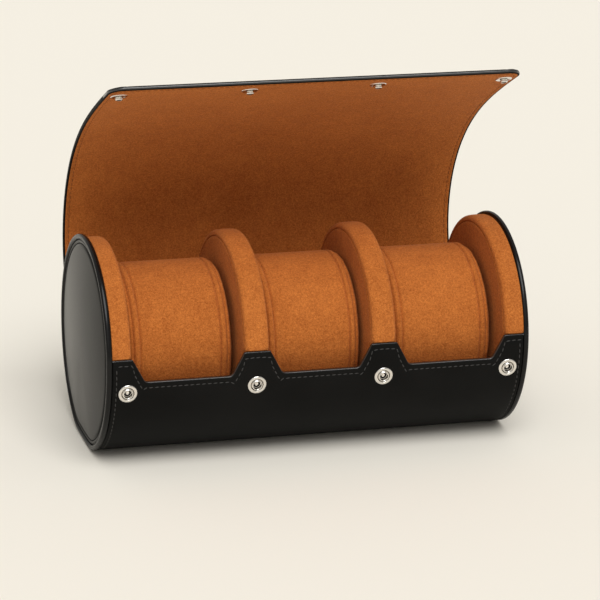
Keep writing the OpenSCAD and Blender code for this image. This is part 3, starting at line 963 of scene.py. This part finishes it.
def cradle_pads():
    """Soft-edged copies of the pads under the pillows."""
    bm = bmesh.new()
    bm.from_mesh(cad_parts["cradle_pads"].data)
    bmesh.ops.scale(bm, vec=(1 / MM,) * 3, verts=bm.verts)
    bmesh.ops.remove_doubles(bm, verts=bm.verts, dist=0.001)
    bmesh.ops.dissolve_limit(bm, angle_limit=math.radians(1), verts=bm.verts, edges=bm.edges)
    sharp = [e for e in bm.edges if e.is_manifold and e.calc_face_angle() > math.radians(40)]
    bmesh.ops.bevel(
        bm, geom=sharp, offset=PAD_EDGE_R, segments=3, profile=0.5, affect="EDGES", material=-1
    )
    piece = make_piece(bm, "cradle_cushions", TAN_SUEDE)
    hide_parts("cradle_pads")
    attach(piece, "case")


cradle_pads()


# ---- the flap ----

# Places of the flap's sections: from its tip where its seam turns, and from the end of a layer
# where its edge is rounded
SEAM_FROM_TIP = (9, 8, 7, 6, 5, 4.2, 3.7, 3.3, 3.0, 2.7, 2.3, 1.8, 1.4)
EDGE_FROM_END = (1.05, 1.0, 0.7, 0.5, 0.3, 0.15, 0.05, 0.0)
CORNER_TURNS = 8
PAINT_TURNS = 12
PAINT_SIDES = 10


def lean_at(k):
    """Lean of the flap's curve at crease k, in the way that the part's source has it."""
    reach = FLAP_L if k == CREASES else k * STRIP_L
    return math.radians(-TIP_LEAN + (ROOT_LEAN + TIP_LEAN) * (1 - reach / FLAP_L) ** CURL)


def leaning(lean):
    """Direction along the flap at a lean, as (y, z)."""
    return Vector((math.sin(lean), math.cos(lean)))


def crease_point(k):
    """Place of crease k on the flap's outer face, as (y, z)."""
    point = Vector((CASE_R, AXIS_Z))
    for i in range(1, k + 1):
        length = TIP_L if i == CREASES else STRIP_L
        point += length * leaning((lean_at(i - 1) + lean_at(i)) / 2)
    return point


def sharp_flap(s):
    """(point, lean) of the flap's outer face, s along it from the crease at the wrap."""
    if s <= 0:
        a = -s / CASE_R
        return Vector((CASE_R * math.cos(a), AXIS_Z - CASE_R * math.sin(a))), a
    k = min(int(s / STRIP_L), CREASES - 1) + 1
    length = TIP_L if k == CREASES else STRIP_L
    share = (s - (k - 1) * STRIP_L) / length
    start = lean_at(k - 1)
    turn = lean_at(k) - start
    if k == CREASES:
        lean = start + turn / 2
        return crease_point(k - 1) + length * share * leaning(lean), lean
    chord = length * math.sin(turn * share / 2) / math.sin(turn / 2)
    return crease_point(k - 1) + chord * leaning(start + turn * share / 2), start + turn * share


def flap_frame(s):
    """(point, along, inward) of the flap's outer face, with the bend at the wrap rounded."""
    if abs(s) >= ROOT_BEND or s < -JOIN_BELOW:
        point, lean = sharp_flap(s)
        along = leaning(lean)
    else:
        low, high = -JOIN_BELOW, ROOT_BEND
        t = (s - low) / (high - low)
        (a, lean_a), (c, lean_c) = sharp_flap(low), sharp_flap(high)
        u, v = leaning(lean_a), leaning(lean_c)
        gap = c - a
        b = a + u * ((gap.x * v.y - gap.y * v.x) / (u.x * v.y - u.y * v.x))
        point = (1 - t) ** 2 * a + 2 * t * (1 - t) * b + t * t * c
        along = ((1 - t) * (b - a) + t * (c - b)).normalized()
    return point, along, Vector((-along.y, along.x))


def flap_place(x, s, depth):
    """Point of the flap, s along it and at a depth below its outer face."""
    point, _, inward = flap_frame(s)
    spot = point + inward * depth
    return Vector((x, spot.x, spot.y))


def flap_half_width(s, inset=0.0):
    """Half the flap's width at s, narrowing round its outer corners."""
    r = FLAP_CORNER_R - inset
    past = s - (FLAP_L - FLAP_CORNER_R)
    if past <= 0:
        return FLAP_HALF_W - inset
    return FLAP_HALF_W - inset - r + math.sqrt(max(r * r - past * past, 0.0))


def round_edge(x, depth, r, angles):
    """Points of an edge rounded by r about (x, depth), at angles in degrees from the outer
    face on."""
    turns = [math.radians(a) for a in angles]
    return [(x + r * math.sin(t), depth - r * math.cos(t)) for t in turns]


def edge_fall(r, to_tip):
    """How far a face has dropped at a distance from the tip, where an edge rounded by r ends it."""
    return r - math.sqrt(max(r**2 - max(r - to_tip, 0) ** 2, 0))


def both_halves(right):
    """The ring whose right half is given, from the middle line back to the middle line."""
    return right + [(-x, depth) for x, depth in reversed(right[1:-1])]


def leather_section(s):
    """Ring of (x, depth) through the black layer and its turned edge."""
    hw = flap_half_width(s)
    to_tip = FLAP_L - s
    fall = edge_fall(EDGE_R, to_tip)
    deep = BLACK_T if to_tip > SUEDE_INSET else BEAD_T
    right = [(hw * share, 0.0) for share in (0.0, 0.2, 0.4, 0.6, 0.8)]
    right += [(hw - d, 0.0) for d in (5.0, 4.2, 3.7, 3.3, 3.0, 2.7, 2.3, 1.7)]
    right += round_edge(hw - EDGE_R, EDGE_R, EDGE_R, (0, 30, 60, 90))
    right += round_edge(hw - EDGE_R, BEAD_T - EDGE_R, EDGE_R, (90, 120, 150, 180))
    right += [(hw - BEAD_W, BEAD_T - 0.1), (hw - SUEDE_INSET, deep)]
    right += [(hw * share, deep) for share in (0.94, 0.8, 0.6, 0.4, 0.2, 0.0)]
    ring = []
    for x, depth in right:
        if depth < 0.3 * BEAD_T and hw - x > EDGE_R - 0.01:
            depth += max(groove(hw - x), groove(to_tip))
        ring.append((x, max(depth, fall) if depth <= BEAD_T / 2 else min(depth, BEAD_T - fall)))
    return both_halves(ring)


def suede_section(s):
    """Ring of (x, depth) through the suede, which ends inside the turned edge."""
    hw = flap_half_width(s, SUEDE_INSET)
    to_tip = FLAP_L - SUEDE_INSET - s
    r = SUEDE_EDGE_R
    fall = edge_fall(r, to_tip)
    right = [(0.0, BLACK_T), (hw * 0.5, BLACK_T), (hw - r, BLACK_T), (hw - 0.05, BLACK_T + 0.2)]
    right += round_edge(hw - r, FLAP_T - r, r, (90, 120, 150, 180))
    right += [(hw - d, FLAP_T) for d in (0.8, 1.2, 1.6, 2.0, 2.4, 2.8, 3.4)]
    right += [(hw * share, FLAP_T) for share in (0.8, 0.6, 0.4, 0.2, 0.0)]
    ring = []
    for x, depth in right:
        if depth > FLAP_T - 0.05:
            depth -= 0.7 * max(groove(hw - x + SUEDE_INSET), groove(to_tip + SUEDE_INSET))
        ring.append((x, min(depth, FLAP_T - fall) if depth > (BLACK_T + FLAP_T) / 2 else depth))
    return both_halves(ring)


def strip_bounds():
    """Where the flap's pieces meet: half way along each strip, and just short of the studs."""
    middles = [(k + 0.5) * STRIP_L for k in range(CREASES - 1)]
    return [-JOIN_BELOW] + middles + [FLAT_TIP_S, FLAP_L]


def stations_between(a, b, end):
    """Places along the flap at which its section is drawn, closer together near its tip."""
    near_tip = [FLAP_L - d for d in SEAM_FROM_TIP] + [end - d for d in EDGE_FROM_END]
    marks = [a] + [s for s in near_tip if a < s <= b] + ([b] if b < FLAP_L else [])
    found = []
    for low, high in zip(marks, marks[1:]):
        found += steps_between(low, high, FLAP_STEP)[:-1]
    return found + [marks[-1]]


def flap_seam(side):
    """The seam along one half of the flap's free edge, as (x, s, 0)."""
    corner = FLAP_L - FLAP_CORNER_R
    r = FLAP_CORNER_R - STITCH_INSET
    straight = steps_between(FLAP_STITCH_START, corner, SEAM_STEP)
    path = [(side * (FLAP_HALF_W - STITCH_INSET), s, 0) for s in straight]
    for i in range(1, CORNER_TURNS + 1):
        t = math.pi / 2 * i / CORNER_TURNS
        path.append((side * (FLAP_HALF_W - FLAP_CORNER_R + r * math.cos(t)), corner + r * math.sin(t), 0))
    return path + [(0.0, FLAP_L - STITCH_INSET, 0)]


def flap_stitches(a, b, depth, facing, width):
    """Stitches along the flap's free edges between a and b, at a depth below its outer face.
    They are seen from outside where facing is -1, and on the suede where it is 1."""
    bm = bmesh.new()
    for side in (-1, 1):
        for spot, along in walk(flap_seam(side), STITCH_PITCH):
            if a <= spot.y < b:
                _, tangent, inward = flap_frame(spot.y)
                direction = Vector((along.x, tangent.x * along.y, tangent.y * along.y)).normalized()
                out = Vector((0, inward.x, inward.y)) * facing
                add_stitch(bm, flap_place(spot.x, spot.y, depth), direction, out, STITCH_L, width)
    return bm


def follow(piece, index, start, end):
    """Lets the last piece of the flap ride on its last strip; the other pieces stay where they are drawn.
    """
    if index == CREASES:
        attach(piece, f"flap_{CREASES}")
        return
    low, high = (flap_place(0, s, FLAP_T / 2) * MM for s in (start, end))
    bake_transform(piece)


def flap_skin(kind, section, tip, material, index, a, b):
    """One layer of the flap between a and b. Nothing of it lies past tip."""
    places = [s for s in stations_between(a, b, tip) if s <= tip + 1e-6]
    rings = [[flap_place(x, s, depth) for x, depth in section(s)] for s in places]
    piece = make_piece(loft(rings), f"flap_{kind}_skin_{index}", material)
    if index > 0:
        stiffener = [f"flap_stiffener_{index}"] if kind == "leather" else []
        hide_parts(f"flap_{kind}_{index}", *stiffener)
    follow(piece, index, a, b)


bounds = strip_bounds()
for index, (a, b) in enumerate(zip(bounds, bounds[1:])):
    flap_skin("leather", leather_section, FLAP_L, BLACK_LEATHER, index, a, b)
    flap_skin("suede", suede_section, FLAP_L - SUEDE_INSET, TAN_SUEDE, index, a, b)
    if index > 0:
        bm = flap_stitches(a, b, GROOVE_DEPTH - STITCH_LIFT, -1, STITCH_W)
        follow(make_piece(bm, f"flap_outer_stitches_{index}", BLACK_THREAD), index, a, b)
        bm = flap_stitches(a, b, FLAP_T - SUEDE_STITCH_SINK, 1, SUEDE_STITCH_W)
        follow(make_piece(bm, f"flap_inner_stitches_{index}", TAN_THREAD), index, a, b)


def flap_edge_paint():
    """The polished bead of edge paint round the flap's flat tip."""
    corner, r = FLAP_L - FLAP_CORNER_R, FLAP_CORNER_R
    path = [(FLAP_HALF_W, s, 0.0) for s in steps_between(FLAT_TIP_S, corner, 2.0)]
    for i in range(1, PAINT_TURNS + 1):
        t = math.pi / 2 * i / PAINT_TURNS
        path.append((FLAP_HALF_W - r + r * math.cos(t), corner + r * math.sin(t), t))
    path += [(x, FLAP_L, math.pi / 2) for x in steps_between(FLAP_HALF_W - r, 0.0, 12.0)[1:]]
    path += [(-x, s, math.pi - t) for x, s, t in reversed(path[:-1])]
    rings = []
    for x, s, t in path:
        ring = []
        for q in turn_steps(PAINT_SIDES):
            reach = TIP_PAINT_W * math.cos(q) - TIP_PAINT_SINK
            depth = BEAD_T / 2 + TIP_PAINT_HALF_T * math.sin(q)
            ring.append(flap_place(x + reach * math.cos(t), s + reach * math.sin(t), depth))
        rings.append(ring)
    piece = make_piece(loft(rings), "flap_edge_bead", EDGE_PAINT, sharp=60)
    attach(piece, f"flap_{CREASES}")


flap_edge_paint()


# ---- snaps ----

# Half sections as (radius, height over the surface), from the middle of the hole outwards
# and back below the surface, and thin discs of painted shade in the recesses as (least radius,
# greatest radius, height)
SOCKET_SECTION = [
    (0.02, -1.15), (1.9, -1.15), (2.12, -1.05), (2.15, 0.4), (2.2, 0.72), (2.33, 0.88), (2.5, 0.9),
    (2.68, 0.82), (2.84, 0.5), (2.98, 0.16), (3.12, 0.06), (3.3, 0.08), (3.45, 0.24), (3.6, 0.4),
    (3.8, 0.48), (4.1, 0.47), (4.5, 0.37), (4.8, 0.22), (4.96, 0.04), (5.0, -0.12), (4.9, -0.3),
    (2.7, -0.3), (2.7, -1.38), (0.02, -1.38),
]
EYE_SECTION = [(0.35, -1.15), (0.37, -1.0), (0.5, -0.93), (0.75, -0.93), (0.95, -1.02), (1.02, -1.17)]
SOCKET_PAINTED_SHADE = [(0.02, 2.1, -1.1), (2.92, 3.42, 0.13)]
STUD_PAINTED_SHADE = [(0.02, 1.32, 1.88), (1.7, 2.1, 0.13)]
STUD_SECTION = [
    (0.02, 1.5), (1.0, 1.52), (1.12, 1.6), (1.25, 1.84), (1.4, 1.97), (1.55, 2.0), (1.72, 1.93),
    (1.88, 1.7), (1.96, 1.35), (1.94, 1.0), (1.82, 0.6), (1.72, 0.35), (1.72, 0.18), (1.9, 0.07),
    (2.5, 0.05), (2.95, 0.08), (3.2, 0.24), (3.5, 0.4), (3.85, 0.44), (4.2, 0.34), (4.42, 0.15),
    (4.5, -0.1), (4.45, -0.38), (0.02, -0.38),
]


def add_turned(bm, section, centre, out, steps=48, ring=False):
    """Adds a turned part to bm: its half section, carried round the line through centre. A
    ring is open in the middle."""
    across = Vector((1, 0, 0))
    up = out.cross(across)
    spokes = [across * math.cos(a) + up * math.sin(a) for a in turn_steps(steps)]
    turned = loft([[centre + out * h + spoke * r for spoke in spokes] for r, h in section], round_trip=ring)
    mesh = bpy.data.meshes.new("turned")
    turned.to_mesh(mesh)
    turned.free()
    bm.from_mesh(mesh)
    bpy.data.meshes.remove(mesh)


def cut_holes(piece, spots):
    """Cuts a round hole for a socket into a closed piece at each (centre, out) spot."""
    bm = bmesh.new()
    hole = [(0.02, 1.0), (HOLE_R, 1.0), (HOLE_R, -HOLE_DEPTH), (0.02, -HOLE_DEPTH)]
    for centre, out in spots:
        add_turned(bm, hole, centre, out)
    cutter = make_piece(bm, "hole_cutter", DARK_THREAD_AND_SHADE)
    holes = piece.modifiers.new("Holes", "BOOLEAN")
    holes.operation = "DIFFERENCE"
    holes.solver = "EXACT"
    holes.object = cutter
    cut = evaluated_mesh(piece)
    piece.modifiers.clear()
    piece.data = cut
    cut.set_sharp_from_angle(angle=math.radians(35))
    bpy.data.objects.remove(cutter)


def snaps(name, sections, painted_shade, spots, body, node):
    """Turned snap parts at the given (centre, out) spots, and thin discs of painted shade in their
    recesses.
    """
    metal, dark = bmesh.new(), bmesh.new()
    for centre, out in spots:
        for section in sections:
            add_turned(metal, section, centre, out)
        # Each recess gets a thin dark disc or ring of painted shade
        for low_r, high_r, h in painted_shade:
            painted_shade_disc = [(low_r, h), (high_r, h), (high_r, h - PAINTED_SHADE_T), (low_r, h - PAINTED_SHADE_T)]
            add_turned(dark, painted_shade_disc, centre, out, steps=32, ring=low_r > 1)
    piece = make_piece(metal, f"{name}_turned", NICKEL, sharp=50)
    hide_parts(node)
    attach(piece, body)
    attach(make_piece(dark, f"{name}_hollows", DARK_THREAD_AND_SHADE), body)


SNAP_X = [END_SNAP_INSET - WRAP_END, -DIVIDER_X, DIVIDER_X, WRAP_END - END_SNAP_INSET]
socket_out = Vector((0, -math.cos(SNAP_ANGLE), -math.sin(SNAP_ANGLE)))
socket_spots = [(Vector((x, 0, AXIS_Z)) + socket_out * CASE_R, socket_out) for x in SNAP_X]
cut_holes(leather_body, socket_spots)
snaps("socket", [SOCKET_SECTION, EYE_SECTION], SOCKET_PAINTED_SHADE, socket_spots, "case", "snap_sockets")
stud_s = LAST_CREASE_S + STUD_INSET
_, _, flap_inward = flap_frame(stud_s)
stud_out = Vector((0, flap_inward.x, flap_inward.y))
stud_spots = [(flap_place(x, stud_s, FLAP_T), stud_out) for x in SNAP_X]
snaps("stud", [STUD_SECTION], STUD_PAINTED_SHADE, stud_spots, f"flap_{CREASES}", "snap_studs")
for name in ("snap_caps", "snap_rivets"):
    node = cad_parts[name]
    node.data.materials.clear()
    node.data.materials.append(NICKEL)


# ---- floor, light and camera ----

FLOOR_COLOUR = (0.872, 0.835, 0.752, 1)
FLOOR_HALF_W = 6.0
WORLD_COLOUR = (0.95, 0.92, 0.87, 1)
WORLD_STRENGTH = 0.5

# The camera as fitted to edges measured in the photograph: angles in degrees, lens and target
# in millimetres, distance in metres
CAMERA_SWING = 16.307
CAMERA_RISE = 18.5
CAMERA_ROLL = 1.675
CAMERA_LENS = 203.42
CAMERA_TARGET = Vector((3.946, 0, 70.725))
CAMERA_DISTANCE = 1.80666


def floor():
    """The pale floor that catches the case's shadow, in metres."""
    bm = bmesh.new()
    bmesh.ops.create_grid(bm, x_segments=1, y_segments=1, size=FLOOR_HALF_W)
    mesh = bpy.data.meshes.new("floor")
    bm.to_mesh(mesh)
    bm.free()
    piece = bpy.data.objects.new("floor", mesh)
    bpy.context.scene.collection.objects.link(piece)
    material, _, shader = new_material("floor_paper")
    shader.inputs["Base Color"].default_value = FLOOR_COLOUR
    shader.inputs["Roughness"].default_value = 0.9
    shader.inputs["Specular IOR Level"].default_value = 0.1
    mesh.materials.append(material)


def sun_lamp(name, towards, strength, spread_deg):
    """A distant lamp that shines from the direction towards."""
    lamp = bpy.data.lights.new(name, "SUN")
    lamp.energy = strength
    lamp.angle = math.radians(spread_deg)
    holder = bpy.data.objects.new(name, lamp)
    holder.rotation_euler = (-Vector(towards)).to_track_quat("-Z", "Y").to_euler()
    bpy.context.scene.collection.objects.link(holder)


def world_light():
    """Even light from all round."""
    world = bpy.data.worlds.new("studio")
    bpy.context.scene.world = world
    world.use_nodes = True
    shader = world.node_tree.nodes["Background"]
    shader.inputs["Color"].default_value = WORLD_COLOUR
    shader.inputs["Strength"].default_value = WORLD_STRENGTH


def camera():
    """The camera, swung and raised about its target, and rolled a little."""
    swing, rise, roll = (math.radians(a) for a in (CAMERA_SWING, CAMERA_RISE, CAMERA_ROLL))
    back = Vector((-math.sin(swing) * math.cos(rise), -math.cos(swing) * math.cos(rise), math.sin(rise)))
    right = Vector((math.cos(swing), -math.sin(swing), 0))
    up = back.cross(right)
    right, up = math.cos(roll) * right + math.sin(roll) * up, math.cos(roll) * up - math.sin(roll) * right
    lens = bpy.data.cameras.new("camera")
    lens.sensor_width = 36.0
    lens.lens = CAMERA_LENS
    lens.clip_end = 30
    lens.clip_start = 0.05
    holder = bpy.data.objects.new("camera", lens)
    turn = Matrix((right, up, back)).transposed().to_4x4()
    holder.matrix_world = Matrix.Translation(CAMERA_TARGET * MM + back * CAMERA_DISTANCE) @ turn
    bpy.context.scene.collection.objects.link(holder)
    bpy.context.scene.camera = holder


bpy.context.scene.view_settings.view_transform = "Standard"
floor()
world_light()
sun_lamp("key", (0.02, -0.62, 1.0), 1.9, 40)
sun_lamp("front", (-0.25, -0.9, 0.8), 0.35, 60)
camera()
